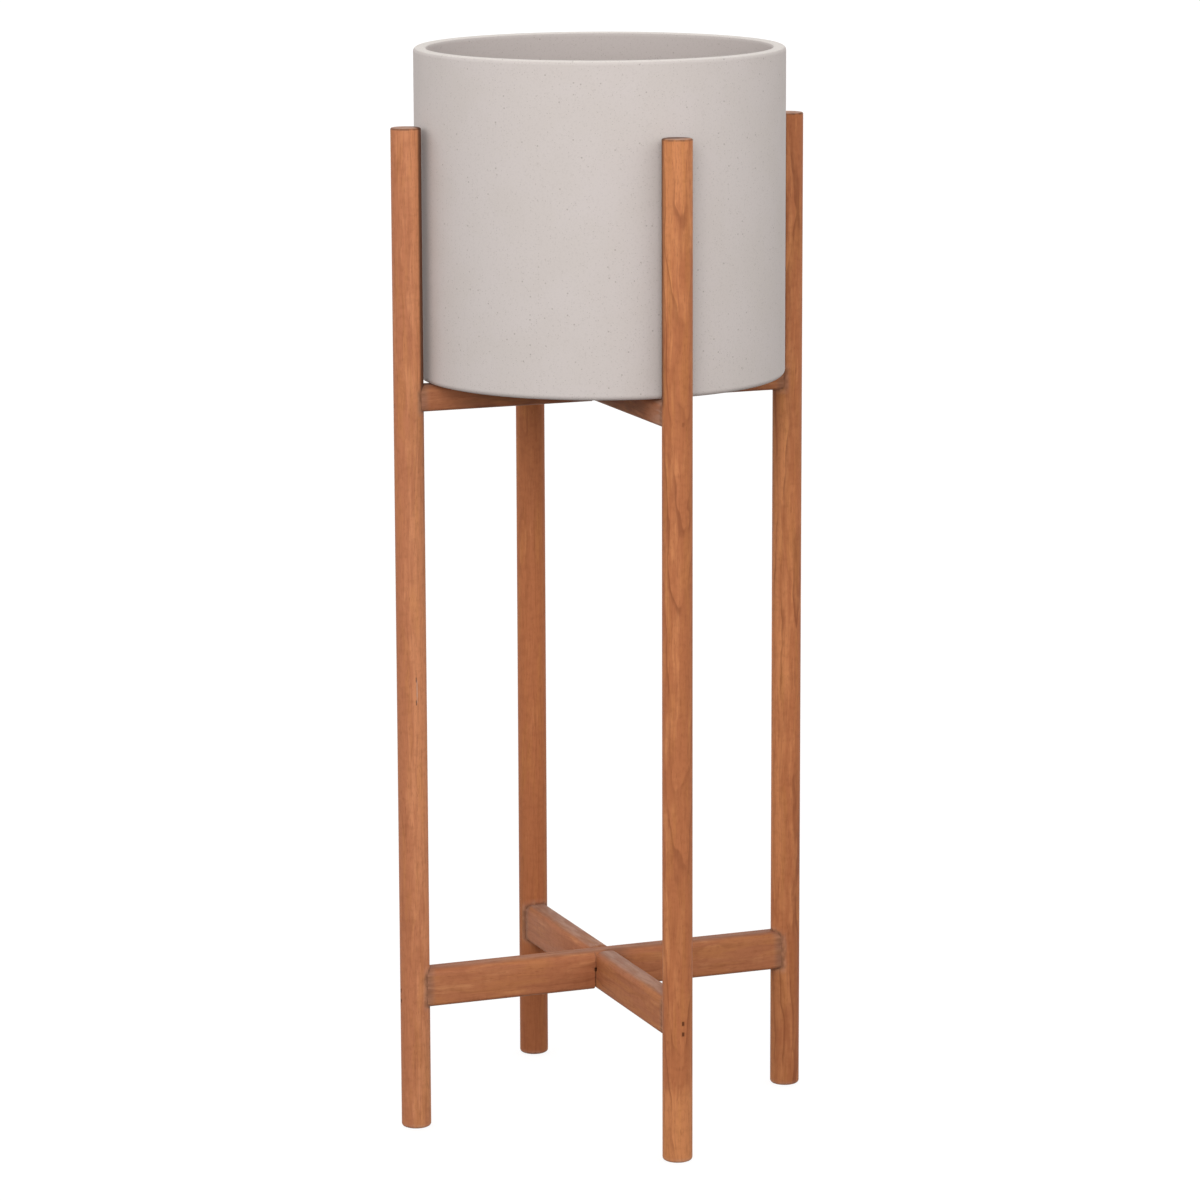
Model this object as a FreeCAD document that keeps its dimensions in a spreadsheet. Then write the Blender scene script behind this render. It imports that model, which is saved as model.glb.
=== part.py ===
import FreeCAD, Part
import math
import os
import re

import Sketcher

# Planter with stand: a straight-sided cast clay pot in a stand of four dowel legs.
# Two bars halved together carry the pot, and two taller ones brace the legs near the floor.
# Every bar is coped to fit round its legs, tenoned into them and held by brads driven in from outside.
# Millimetres, +Z up, origin on the floor at the middle of the four feet.
# The left and right legs stand on the X axis, the front and back legs on the Y axis.

SIZES = {
    # Legs: round dowels that run up beside the pot, a small gap away from it
    "leg_gap": 3.5,
    "leg_diameter": 25.0,
    "leg_height": 847.0,
    "leg_foot_chamfer": 2.0,
    "leg_top_chamfer": 0.8,
    # Bars: stock with rounded edges, taller than it is wide; a bar's level is that of its underside
    "bar_thickness": 20.0,
    "bar_top_round": 6.5,
    "bar_under_round": 3.5,
    "lower_bar_height": 33.0,
    "lower_bar_level": 105.0,
    "upper_bar_height": 22.0,
    "upper_bar_level": 613.0,
    # Joints: a bar's hollow end and stub tenon, the mortise in a leg, the notch where two bars cross
    "cope_clearance": 0.15,
    "tenon_thickness": 10.0,
    "tenon_shoulder": 3.0,
    "tenon_depth": 14.0,
    "mortise_clearance": 0.1,
    "mortise_end_gap": 0.5,
    "lap_clearance": 0.5,
    # Brads: flat wire with a narrow head, punched under the surface of the leg
    "brad_width": 1.6,
    "brad_wire": 1.4,
    "brad_length": 32.0,
    "brad_point": 2.4,
    "brad_point_edge": 0.2,
    "brad_head_height": 3.0,
    "brad_head_depth": 0.9,
    "brad_sink": 0.9,
    "lower_brad_rise": 5.5,
    "lower_brad_spacing": 9.0,
    "upper_brad_rise": 5.0,
    # Pot: one turned shell with a drain hole in the middle of its floor
    "pot_diameter": 308.0,
    "pot_height": 273.0,
    "pot_wall": 11.5,
    "pot_floor": 14.0,
    "pot_lip_round": 4.0,
    "pot_foot_chamfer": 3.5,
    "pot_corner_chamfer": 10.0,
    "drain_diameter": 24.0,
    # Drain plug: a rubber bung pushed in from inside the pot
    "plug_clearance": 0.05,
    "plug_end_gap": 2.0,
    "plug_flange_diameter": 34.0,
    "plug_flange_height": 4.0,
    "plug_button_diameter": 14.0,
    "plug_button_height": 5.0,
    # How far a cut runs past what it cuts
    "cut_overrun": 2.0,
}

# How far each leg is turned from the one on the left, and its bars with it
LEG_TURNS = {"left": 0, "front": 90, "right": 180, "back": 270}

# Formulas that several pieces share
LEG_RADIUS = "leg_diameter / 2"
LEG_CIRCLE = f"(pot_diameter / 2 + leg_gap + {LEG_RADIUS})"
TENON_END = f"({LEG_CIRCLE} - {LEG_RADIUS} + tenon_depth)"
POT_LEVEL = "upper_bar_level + upper_bar_height"
LOWER_BRAD_RISES = ("lower_brad_rise", "lower_brad_rise + lower_brad_spacing")
UPPER_BRAD_RISES = ("upper_brad_rise",)

# Two values nearer than this are taken as the same
SAME_PLACE = 1e-6

doc = FreeCAD.newDocument("planter_with_stand")
sheet = doc.addObject("Spreadsheet::Sheet", "Sizes")
for row, (alias, value) in enumerate(SIZES.items(), start=1):
    sheet.set(f"A{row}", alias)
    sheet.set(f"B{row}", str(value))
    sheet.setAlias(f"B{row}", alias)
doc.recompute()
size = {alias: float(sheet.get(alias)) for alias in SIZES}


def bound(formula):
    """Formula with each size written as the sheet's own cell."""
    return re.sub(r"[a-z_]+", lambda word: f"Sizes.{word[0]}" if word[0] in SIZES else word[0], formula)


def new_body(label, turn=0, out="0", level="0"):
    """Body turned about the stand's axis, standing out from it and up at a level."""
    body = doc.addObject("PartDesign::Body", label)
    body.Label = label
    body.AllowCompound = True
    body.Placement = FreeCAD.Placement(FreeCAD.Vector(), FreeCAD.Rotation(FreeCAD.Vector(0, 0, 1), turn))
    body.setExpression("Placement.Base.x", bound(f"-({out}) * cos({turn} deg)"))
    body.setExpression("Placement.Base.y", bound(f"-({out}) * sin({turn} deg)"))
    body.setExpression("Placement.Base.z", bound(level))
    return body


def new_sketch(body, role, name, offset="0"):
    """Sketch on one of the body's own planes, moved along the plane's normal."""
    sketch = body.newObject("Sketcher::SketchObject", name)
    plane = next(feature for feature in body.Origin.OriginFeatures if feature.Role == role)
    sketch.AttachmentSupport = [(plane, "")]
    sketch.MapMode = "FlatFace"
    sketch.setExpression("AttachmentOffset.Base.z", bound(offset))
    return sketch


def pin(sketch, kind, line, formula):
    """Hold the start of a line at a distance from the sketch's origin."""
    index = sketch.addConstraint(Sketcher.Constraint(kind, -1, 1, line, 1, 1.0))
    sketch.setExpression(f"Constraints[{index}]", bound(formula))


def add_outline(sketch, corners):
    """Closed polygon whose corners are pairs of formulas, measured from the origin."""
    count = len(corners)
    first = sketch.GeometryCount
    for index in range(count):
        start = FreeCAD.Vector(index, index * index, 0)
        end = FreeCAD.Vector(index + 1, (index + 1) * (index + 1), 0)
        sketch.addGeometry(Part.LineSegment(start, end))
    for index in range(count):
        following = first + (index + 1) % count
        sketch.addConstraint(Sketcher.Constraint("Coincident", first + index, 2, following, 1))
    for index, (across, along) in enumerate(corners):
        pin(sketch, "DistanceX", first + index, across)
        pin(sketch, "DistanceY", first + index, along)


def add_circle(sketch, diameter, along="0"):
    """Circle whose middle lies on the sketch's horizontal axis."""
    circle = sketch.addGeometry(Part.Circle(FreeCAD.Vector(), FreeCAD.Vector(0, 0, 1), 1.0))
    measures = [
        (Sketcher.Constraint("DistanceX", -1, 1, circle, 3, 1.0), along),
        (Sketcher.Constraint("DistanceY", -1, 1, circle, 3, 1.0), "0"),
        (Sketcher.Constraint("Diameter", circle, 1.0), diameter),
    ]
    for constraint, formula in measures:
        index = sketch.addConstraint(constraint)
        sketch.setExpression(f"Constraints[{index}]", bound(formula))


def add_pad(body, sketch, length, midplane=False):
    """Solid drawn out of a sketch."""
    pad = body.newObject("PartDesign::Pad", f"{sketch.Name}_pad")
    pad.Profile = sketch
    pad.setExpression("Length", bound(length))
    pad.Midplane = midplane
    sketch.Visibility = False
    doc.recompute()
    return pad


def add_pocket(body, sketch, length, midplane=False):
    """Cut along a sketch's normal; stops the build if it takes nothing away."""
    before = body.Shape.Volume
    pocket = body.newObject("PartDesign::Pocket", f"{sketch.Name}_pocket")
    pocket.Profile = sketch
    pocket.setExpression("Length", bound(length))
    pocket.Midplane = midplane
    doc.recompute()
    if not body.Shape.Volume < before:
        raise RuntimeError(f"{body.Label}: {pocket.Name} cuts nothing")
    return pocket


def add_revolution(body, sketch):
    """Solid turned about the body's upright axis."""
    turned = body.newObject("PartDesign::Revolution", f"{sketch.Name}_turned")
    turned.Profile = sketch
    turned.ReferenceAxis = (sketch, ["V_Axis"])
    turned.Angle = 360
    doc.recompute()
    return turned


def ease_edges(body, alias, chosen):
    """Round or chamfer, as the size's name says, the edges of the body's tip that chosen() accepts."""
    base = body.Tip
    names = [f"Edge{index}" for index, edge in enumerate(base.Shape.Edges, start=1) if chosen(edge)]
    if not names:
        raise RuntimeError(f"{body.Label}: no edge to ease by {alias}")
    kind, measure = ("Chamfer", "Size") if alias.endswith("chamfer") else ("Fillet", "Radius")
    eased = body.newObject(f"PartDesign::{kind}", f"{body.Name}_{alias}")
    eased.Base = (base, names)
    eased.setExpression(measure, bound(alias))
    doc.recompute()
    return eased


def is_ring(edge, radius, level):
    """Whether an edge is a level circle of that radius about the body's upright axis."""
    if not isinstance(edge.Curve, Part.Circle):
        return False
    same_radius = math.isclose(edge.Curve.Radius, radius, abs_tol=SAME_PLACE)
    return same_radius and math.isclose(edge.Curve.Center.z, level, abs_tol=SAME_PLACE)


def runs_across(edge, level):
    """Whether an edge is straight, lies along the body's X axis and is at that level."""
    if not isinstance(edge.Curve, Part.Line) or abs(edge.Curve.Direction.x) < 1 - SAME_PLACE:
        return False
    return math.isclose(edge.BoundBox.Center.z, level, abs_tol=SAME_PLACE)


def slab(half_width, low, high):
    """Corners of a rectangle centred across and standing from low to high."""
    return [(f"-({half_width})", low), (half_width, low), (half_width, high), (f"-({half_width})", high)]


def brad_outline(axis, inward, level, outer):
    """Side view of a brad driven inward through the leg whose middle is at axis."""

    def across(depth):
        return f"{axis} + {inward} * ({depth} - {LEG_RADIUS})"

    neck = across("brad_sink + brad_head_depth")
    shoulder = across("brad_sink + brad_length - brad_point")
    tip = across("brad_sink + brad_length")
    upper_half = [
        (across(outer), "brad_head_height / 2"),
        (neck, "brad_head_height / 2"),
        (neck, "brad_wire / 2"),
        (shoulder, "brad_wire / 2"),
        (tip, "brad_point_edge / 2"),
    ]
    above = [(place, f"{level} + {half}") for place, half in upper_half]
    below = [(place, f"{level} - {half}") for place, half in reversed(upper_half)]
    return above + below


def brad_levels():
    """Heights above the floor of the brads in one leg."""
    lower = [f"lower_bar_level + {rise}" for rise in LOWER_BRAD_RISES]
    upper = [f"upper_bar_level + {rise}" for rise in UPPER_BRAD_RISES]
    return lower + upper


def build_leg(side, turn):
    """Dowel with a rounded foot, a mortise for each of its two bars and slots for the brads."""
    body = new_body(f"{side}_leg", turn, LEG_CIRCLE)
    section = new_sketch(body, "XY_Plane", f"{side}_leg_section")
    add_circle(section, "leg_diameter")
    add_pad(body, section, "leg_height")
    radius = size["leg_diameter"] / 2
    ease_edges(body, "leg_foot_chamfer", lambda edge: is_ring(edge, radius, 0))
    ease_edges(body, "leg_top_chamfer", lambda edge: is_ring(edge, radius, size["leg_height"]))

    mortises = new_sketch(body, "YZ_Plane", f"{side}_leg_mortises", f"{LEG_RADIUS} + cut_overrun")
    half_width = "tenon_thickness / 2 + mortise_clearance"
    for bar in ("lower_bar", "upper_bar"):
        low = f"{bar}_level + tenon_shoulder - mortise_clearance"
        high = f"{bar}_level + {bar}_height - tenon_shoulder + mortise_clearance"
        add_outline(mortises, slab(half_width, low, high))
    add_pocket(body, mortises, "tenon_depth + mortise_end_gap + cut_overrun")

    slots = new_sketch(body, "XZ_Plane", f"{side}_leg_brad_slots")
    for level in brad_levels():
        add_outline(slots, brad_outline("0", "1", level, "-cut_overrun"))
    add_pocket(body, slots, "brad_width", midplane=True)
    return body


def build_bar(label, turn, bar, notch, brad_rises):
    """Bar with rounded edges, coped and tenoned ends and a notch for the bar that crosses it."""
    body = new_body(label, turn, level=f"{bar}_level")
    section = new_sketch(body, "YZ_Plane", f"{label}_section")
    add_outline(section, slab("bar_thickness / 2", "0", f"{bar}_height"))
    add_pad(body, section, f"2 * {LEG_CIRCLE}", midplane=True)
    ease_edges(body, "bar_top_round", lambda edge: runs_across(edge, size[f"{bar}_height"]))
    ease_edges(body, "bar_under_round", lambda edge: runs_across(edge, 0))

    copes = new_sketch(body, "XY_Plane", f"{label}_copes", f"{bar}_height + cut_overrun")
    for middle in (f"-{LEG_CIRCLE}", LEG_CIRCLE):
        add_circle(copes, "leg_diameter + 2 * cope_clearance", middle)
    add_pocket(body, copes, f"{bar}_height + 2 * cut_overrun")

    tenons = new_sketch(body, "YZ_Plane", f"{label}_tenons")
    add_outline(tenons, slab("tenon_thickness / 2", "tenon_shoulder", f"{bar}_height - tenon_shoulder"))
    add_pad(body, tenons, f"2 * {TENON_END}", midplane=True)

    cross = new_sketch(body, "XZ_Plane", f"{label}_notch")
    add_outline(cross, slab("bar_thickness / 2 + lap_clearance", *notch))
    add_pocket(body, cross, "bar_thickness + cut_overrun", midplane=True)

    slots = new_sketch(body, "XZ_Plane", f"{label}_brad_slots")
    for rise in brad_rises:
        add_outline(slots, brad_outline(f"-{LEG_CIRCLE}", "1", rise, "-cut_overrun"))
        add_outline(slots, brad_outline(LEG_CIRCLE, "-1", rise, "-cut_overrun"))
    add_pocket(body, slots, "brad_width", midplane=True)
    return body


def build_cross(name, bar, brad_rises):
    """Two bars halved together: the one along X is notched below and lies over the other."""
    middle = f"{bar}_height / 2"
    below = ("-cut_overrun", middle)
    above = (middle, f"{bar}_height + cut_overrun")
    over = build_bar(f"{name}_over", LEG_TURNS["left"], bar, below, brad_rises)
    under = build_bar(f"{name}_under", LEG_TURNS["front"], bar, above, brad_rises)
    return [over, under]


def build_brads(side, turn):
    """The brads of one leg, each a separate piece of flat wire with a narrow head."""
    body = new_body(f"{side}_leg_brads", turn, LEG_CIRCLE)
    profile = new_sketch(body, "XZ_Plane", f"{side}_leg_brads_profile")
    for level in brad_levels():
        add_outline(profile, brad_outline("0", "1", level, "brad_sink"))
    add_pad(body, profile, "brad_width", midplane=True)
    return body


def build_pot():
    """Turned shell: upright wall, flat floor with a drain hole, rounded rim and eased foot."""
    body = new_body("pot", level=POT_LEVEL)
    profile = new_sketch(body, "XZ_Plane", "pot_profile")
    outside = "pot_diameter / 2"
    inside = f"{outside} - pot_wall"
    hole = "drain_diameter / 2"
    add_outline(profile, [
        (hole, "0"),
        (outside, "0"),
        (outside, "pot_height"),
        (inside, "pot_height"),
        (inside, "pot_floor"),
        (hole, "pot_floor"),
    ])
    add_revolution(body, profile)
    outer = size["pot_diameter"] / 2
    inner = outer - size["pot_wall"]
    rim = size["pot_height"]
    ease_edges(body, "pot_lip_round", lambda edge: is_ring(edge, outer, rim) or is_ring(edge, inner, rim))
    ease_edges(body, "pot_foot_chamfer", lambda edge: is_ring(edge, outer, 0))
    ease_edges(body, "pot_corner_chamfer", lambda edge: is_ring(edge, inner, size["pot_floor"]))
    return body


def build_drain_plug():
    """Bung that fills the drain hole, with a flange on the pot's floor and a button to pull it by."""
    body = new_body("drain_plug", level=POT_LEVEL)
    profile = new_sketch(body, "XZ_Plane", "drain_plug_profile")
    bung = "drain_diameter / 2 - plug_clearance"
    flange = "plug_flange_diameter / 2"
    flange_top = "pot_floor + plug_flange_height"
    button = "plug_button_diameter / 2"
    button_top = f"{flange_top} + plug_button_height"
    add_outline(profile, [
        ("0", "plug_end_gap"),
        (bung, "plug_end_gap"),
        (bung, "pot_floor"),
        (flange, "pot_floor"),
        (flange, flange_top),
        (button, flange_top),
        (button, button_top),
        ("0", button_top),
    ])
    add_revolution(body, profile)
    return body


parts = []
for side, turn in LEG_TURNS.items():
    parts.append(build_leg(side, turn))
    parts.append(build_brads(side, turn))
parts += build_cross("lower_cross_bar", "lower_bar", LOWER_BRAD_RISES)
parts += build_cross("upper_cross_bar", "upper_bar", UPPER_BRAD_RISES)
parts.append(build_pot())
parts.append(build_drain_plug())
doc.recompute()

failed = [item.Label for item in doc.Objects if {"Invalid", "Error"} & set(item.State)]
failed += [part.Label for part in parts if part.Shape.isNull() or not part.Shape.isValid()]
if failed:
    raise RuntimeError(f"failed: {failed}")

os.makedirs("parts", exist_ok=True)
for part in parts:
    part.Shape.exportStep(f"parts/{part.Label}.step")
    solids = len(part.Shape.Solids)
    print(f"{part.Label}: {solids} solid(s), {part.Shape.Volume:.0f} mm3")
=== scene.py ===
"""Planter with stand: a cast clay pot held between four stained wooden legs.

Everything is in metres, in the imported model's own frame: +Z up, origin on the floor under the pot.
The left and right legs stand on the X axis, the front and back legs on the Y axis.
"""

import logging
import math
from collections.abc import Callable, Iterable
from dataclasses import dataclass
from enum import Enum

import bmesh
import bpy
from mathutils import Matrix, Vector

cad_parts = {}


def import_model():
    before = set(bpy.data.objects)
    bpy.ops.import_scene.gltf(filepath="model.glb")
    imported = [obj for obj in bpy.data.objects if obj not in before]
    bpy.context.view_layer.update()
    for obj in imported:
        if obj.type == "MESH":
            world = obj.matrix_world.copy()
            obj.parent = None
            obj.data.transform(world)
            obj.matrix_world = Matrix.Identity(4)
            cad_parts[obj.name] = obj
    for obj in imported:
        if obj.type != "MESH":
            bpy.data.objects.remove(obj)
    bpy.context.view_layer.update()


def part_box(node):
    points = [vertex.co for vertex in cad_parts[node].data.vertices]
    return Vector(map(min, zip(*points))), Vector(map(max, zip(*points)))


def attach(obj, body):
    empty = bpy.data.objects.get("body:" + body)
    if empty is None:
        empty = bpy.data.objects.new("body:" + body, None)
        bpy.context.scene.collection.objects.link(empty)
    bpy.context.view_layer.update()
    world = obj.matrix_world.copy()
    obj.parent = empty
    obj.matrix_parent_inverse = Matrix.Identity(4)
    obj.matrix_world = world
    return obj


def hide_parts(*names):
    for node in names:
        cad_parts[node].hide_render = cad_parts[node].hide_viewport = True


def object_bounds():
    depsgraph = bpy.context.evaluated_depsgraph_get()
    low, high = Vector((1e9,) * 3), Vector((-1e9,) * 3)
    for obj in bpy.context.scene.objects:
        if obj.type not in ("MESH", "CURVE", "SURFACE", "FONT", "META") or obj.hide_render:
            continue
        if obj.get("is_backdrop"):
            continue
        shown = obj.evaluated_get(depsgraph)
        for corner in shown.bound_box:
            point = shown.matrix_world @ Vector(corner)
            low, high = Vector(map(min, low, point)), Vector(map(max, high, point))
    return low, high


log = logging.getLogger("planter")

Piece = bpy.types.Object
Material = bpy.types.Material
Tree = bpy.types.NodeTree
Value = bpy.types.Node | bpy.types.NodeSocket | float | tuple
Marks = Callable[[Tree, Value], dict[str, Value]]

MM = 0.001
NEAR = 0.01 * MM  # Points closer than this are in the same place
SHARP = math.radians(35)  # Edges that turn more than this stay sharp


# Shared tools


class Element(Enum):
    """What is selected on a mesh, and where a bmesh keeps it."""

    FACE = "faces"
    EDGE = "edges"


def linear(hex_colour: str) -> tuple[float, float, float, float]:
    """Turn an sRGB hex colour into the linear colour that shaders take.

    Args:
        hex_colour: Six hex digits.

    Returns:
        Linear red, green and blue, and an alpha of 1.
    """
    channels = [int(hex_colour[place:place + 2], 16) / 255 for place in (0, 2, 4)]
    red, green, blue = [c / 12.92 if c <= 0.04045 else ((c + 0.055) / 1.055) ** 2.4 for c in channels]
    return red, green, blue, 1.0


def add_node(tree: Tree, kind: str, inputs: dict[str | int, Value], **settings: object) -> bpy.types.Node:
    """Add a node with its settings and links.

    Args:
        tree: The node tree that gets the node.
        kind: The node's type name, without its ShaderNode prefix.
        inputs: What each input gets: a value, a socket, or a node's first output.
        settings: The node's options by name.

    Returns:
        The new node.
    """
    node = tree.nodes.new(f"ShaderNode{kind}")
    for name, value in settings.items():
        setattr(node, name, value)
    for name, value in inputs.items():
        if isinstance(value, bpy.types.Node):
            value = value.outputs[0]
        if isinstance(value, bpy.types.NodeSocket):
            tree.links.new(value, node.inputs[name])
        else:
            node.inputs[name].default_value = value
    return node


def mask(tree: Tree, *ramps: tuple[Value, float, float], share: float = 1.0, least: float = 0.0) -> Value:
    """Find where several smooth ramps are all high.

    Args:
        tree: The node tree.
        ramps: For each ramp a value, what it is where the ramp starts and what it is where it ends.
        share: What the mask says where every ramp has ended.
        least: What it says where a ramp hasn't started.

    Returns:
        The mask.
    """
    found = share
    for value, start, end in ramps:
        found = add_node(tree, "MapRange", {
            "Value": value, "From Min": start, "From Max": end, "To Min": least, "To Max": found,
        }, interpolation_type="SMOOTHSTEP")
    return found


def strongest(tree: Tree, masks: Iterable[Value]) -> Value:
    """Join masks into one that has the highest of them at each place.

    Args:
        tree: The node tree.
        masks: The masks.

    Returns:
        The joined mask.
    """
    highest, *others = masks
    for other in others:
        highest = add_node(tree, "Math", {0: highest, 1: other}, operation="MAXIMUM")
    return highest


def paint(tree: Tree, under: Value, over: str, where: Value, share: Value = 1.0) -> Value:
    """Lay a hex colour over another colour, by a share of a mask, and give the mixed colour."""
    amount = add_node(tree, "Math", {0: where, 1: share}, operation="MULTIPLY")
    return add_node(tree, "Mix", {0: amount, 6: under, 7: linear(over)}, data_type="RGBA").outputs[2]


def offsets(tree: Tree, place: Value, point: tuple[float, float, float]) -> Iterable[Value]:
    """Measure how far coordinates are from a point along X, Y and Z, to either side.

    Args:
        tree: The node tree.
        place: The coordinates.
        point: The point.

    Returns:
        The three distances.
    """
    shift = add_node(tree, "VectorMath", {0: place, 1: point}, operation="SUBTRACT")
    length = add_node(tree, "VectorMath", {0: shift}, operation="ABSOLUTE")
    return add_node(tree, "SeparateXYZ", {0: length}).outputs


def axis_distance(tree: Tree, place: Value, shift: float = 0.0) -> Value:
    """Measure how far coordinates are from an upright line that crosses the X axis.

    Args:
        tree: The node tree.
        place: The coordinates.
        shift: Where on the X axis the line stands.

    Returns:
        The distance.
    """
    flat = add_node(tree, "VectorMath", {0: place, 1: (1.0, 1.0, 0.0)}, operation="MULTIPLY")
    distance = add_node(tree, "VectorMath", {0: flat, 1: (shift, 0.0, 0.0)}, operation="DISTANCE")
    return distance.outputs["Value"]


def disturb(tree: Tree, place: Value, sizes: Iterable[float], reach: Iterable[float]) -> Value:
    """Move coordinates about with soft noise, so that what is drawn with them wavers.

    Args:
        tree: The node tree.
        place: The coordinates.
        sizes: Length of a wave in X, Y and Z.
        reach: About how far the noise moves them in X, Y and Z.

    Returns:
        The moved coordinates.
    """
    scaled = add_node(tree, "Mapping", {"Vector": place, "Scale": tuple(1 / size for size in sizes)})
    noise = add_node(tree, "TexNoise", {"Vector": scaled, "Scale": 1.0, "Detail": 2.0}).outputs["Color"]
    centred = add_node(tree, "VectorMath", {0: noise, 1: (0.5, 0.5, 0.5)}, operation="SUBTRACT")
    # The noise seldom leaves its middle by more than a quarter
    return add_node(tree, "VectorMath", {
        0: centred, 1: tuple(4 * length for length in reach), 2: place,
    }, operation="MULTIPLY_ADD")


def start_material(name: str) -> tuple[Material, Tree]:
    """Make an empty material.

    Args:
        name: The material's name.

    Returns:
        The material and its node tree.
    """
    material = bpy.data.materials.new(name)
    material.use_nodes = True
    material.node_tree.nodes.clear()
    return material, material.node_tree


def finish_material(tree: Tree, inputs: dict[str, Value]) -> None:
    """Give a material its surface shader, with what each of the shader's inputs gets."""
    add_node(tree, "OutputMaterial", {"Surface": add_node(tree, "BsdfPrincipled", inputs)})


def select_nothing() -> None:
    """Leave edit mode with no object selected."""
    if bpy.context.object and bpy.context.object.mode != "OBJECT":
        bpy.ops.object.mode_set(mode="OBJECT")
    bpy.ops.object.select_all(action="DESELECT")


def make_active(piece: Piece) -> None:
    """Select one piece alone and make it the active one.

    Args:
        piece: The piece.
    """
    select_nothing()
    piece.hide_set(False)
    piece.select_set(True)
    bpy.context.view_layer.objects.active = piece


def pick(piece: Piece, element: Element, chosen: Callable[[object], bool]) -> None:
    """Select some of a piece's faces or edges in edit mode, and nothing else.

    Args:
        piece: The piece, which is in edit mode.
        element: Whether faces or edges are selected.
        chosen: Says whether a bmesh face or edge is wanted.

    Raises:
        ValueError: Nothing is wanted.
    """
    bpy.ops.mesh.select_mode(type=element.name)
    bpy.ops.mesh.select_all(action="DESELECT")
    found = [item for item in getattr(bmesh.from_edit_mesh(piece.data), element.value) if chosen(item)]
    for item in found:
        item.select_set(True)
    bmesh.update_edit_mesh(piece.data)
    if not found:
        raise ValueError(f"{piece.name}: nothing to select")


def pick_level(piece: Piece, level: float) -> None:
    """Select a piece's level faces at a height."""
    pick(piece, Element.FACE, lambda face: abs(face.calc_center_median().z - level) < NEAR)


def apply_modifier(piece: Piece, kind: str, **settings: object) -> None:
    """Add a modifier to a piece, set it and apply it.

    Args:
        piece: The piece to change.
        kind: The modifier's type name.
        settings: The modifier's options by name.
    """
    make_active(piece)
    modifier = piece.modifiers.new(kind.title(), kind)
    for name, value in settings.items():
        setattr(modifier, name, value)
    bpy.ops.object.modifier_apply(modifier=modifier.name)


def cut_away(piece: Piece, cutter: Piece) -> None:
    """Take one closed shape out of another and drop it."""
    apply_modifier(piece, "BOOLEAN", operation="DIFFERENCE", solver="EXACT", object=cutter)
    bpy.data.objects.remove(cutter, do_unlink=True)


def settle(name: str) -> Piece:
    """Name the new primitive and put its place and size in its mesh.

    Args:
        name: The piece's name.

    Returns:
        The piece.
    """
    piece = bpy.context.object
    piece.name = name
    bpy.ops.object.transform_apply(location=True, rotation=True, scale=True)
    return piece


def add_block(name: str, low: Iterable[float], high: Iterable[float]) -> Piece:
    """Add a box between two corners, with its place in its mesh.

    Args:
        name: The box's name.
        low: Lowest corner.
        high: Highest corner.

    Returns:
        The box.
    """
    low, high = Vector(low), Vector(high)
    select_nothing()
    bpy.ops.mesh.primitive_cube_add(size=1, location=(low + high) / 2, scale=high - low)
    return settle(name)


@dataclass(frozen=True)
class Column:
    """An upright round shape: a point on its axis, its radius and its two levels."""

    centre: Vector
    radius: float
    bottom: float
    top: float

    @classmethod
    def of_node(cls, name: str) -> "Column":
        """The column that just holds a CAD node, with the node's middle as its point."""
        low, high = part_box(name)
        return cls((low + high) / 2, (high.x - low.x) / 2, low.z, high.z)

    def model(self, name: str, sides: int) -> Piece:
        """Add a post that fills the column, with its place in its mesh.

        Args:
            name: The post's name.
            sides: Faces round it.

        Returns:
            The post.
        """
        select_nothing()
        bpy.ops.mesh.primitive_cylinder_add(
            vertices=sides, radius=self.radius, depth=self.top - self.bottom,
            location=(self.centre.x, self.centre.y, (self.bottom + self.top) / 2),
        )
        return settle(name)

    def round_edge(self, piece: Piece, radius: float, level: float, size: float, segments: int) -> None:
        """Round a level, circular edge about the column's axis.

        Args:
            piece: The piece with the edge, which is in edit mode.
            radius: Radius of the circle.
            level: Its height.
            size: How far the rounding reaches from the edge.
            segments: Faces across it.
        """
        pick(piece, Element.EDGE, lambda edge: all(
            abs(vertex.co.z - level) < NEAR
            and abs((vertex.co.xy - self.centre.xy).length - radius) < 5 * NEAR
            for vertex in edge.verts
        ))
        bpy.ops.mesh.bevel(offset=size, segments=segments, affect="EDGES")


def finish_piece(piece: Piece, body: str, material: Material, node: str) -> None:
    """Smooth, dress and hand over a piece.

    Args:
        piece: The finished mesh, at the origin.
        body: The CAD body that it moves with.
        material: Its finish.
        node: The CAD node that it stands for.
    """
    make_active(piece)
    bpy.ops.object.shade_smooth_by_angle(angle=SHARP)
    piece.data.materials.clear()
    piece.data.materials.append(material)
    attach(piece, body)
    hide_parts(node)
    log.info("%s: %d faces", piece.name, len(piece.data.polygons))


# Finishes


class Grain(Enum):
    """Which of a wooden piece's own axes its grain runs along, as a turn that brings it upright."""

    X = (0.0, math.pi / 2, 0.0)
    Z = (0.0, 0.0, 0.0)


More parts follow.
